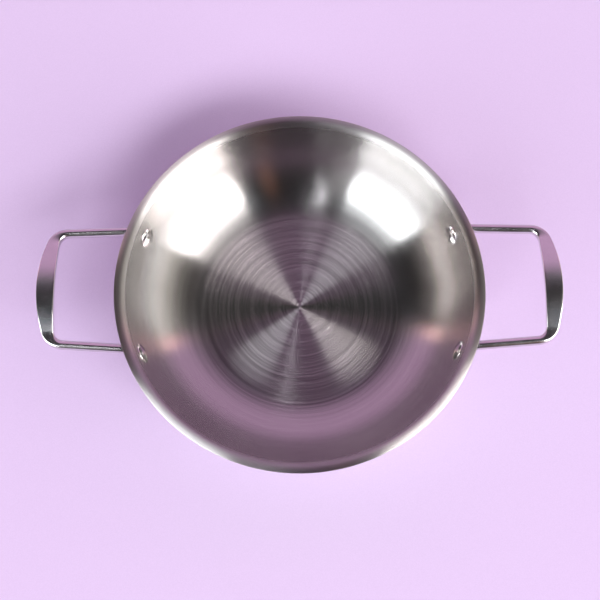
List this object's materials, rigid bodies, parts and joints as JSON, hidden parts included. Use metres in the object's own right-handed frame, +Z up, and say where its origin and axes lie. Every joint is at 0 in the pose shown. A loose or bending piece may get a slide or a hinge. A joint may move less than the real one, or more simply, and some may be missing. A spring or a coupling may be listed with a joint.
{
  "type": "two-handled pan",
  "caption": "Shallow round stainless-steel pan with a rolled lip, a bonded flat base and riveted bent-rod ear handles, for cooking on a stove.",
  "frame": {"origin": "middle of the underside, on the surface that the pan stands on", "axes": "+Z up through the middle of the bowl, +X through the two handles, +Y away from the viewer"},
  "size_m": [0.365, 0.26, 0.0713],
  "materials": {
    "steel_shell": "brushed in circles round the middle of the pan",
    "aluminium_core": "plain mill finish, hidden",
    "steel_base": "satin",
    "steel_handle": "polished",
    "steel_rivet": "polished"
  },
  "bodies": {
    "root": {"pan_shell": "steel_shell", "heat_spreader_disc": "aluminium_core", "base_cap": "steel_base", "handle_right": "steel_handle", "handle_left": "steel_handle", "rivet_left_rear": "steel_rivet", "rivet_left_front": "steel_rivet", "rivet_right_rear": "steel_rivet", "rivet_right_front": "steel_rivet"}
  },
  "joints": []
}
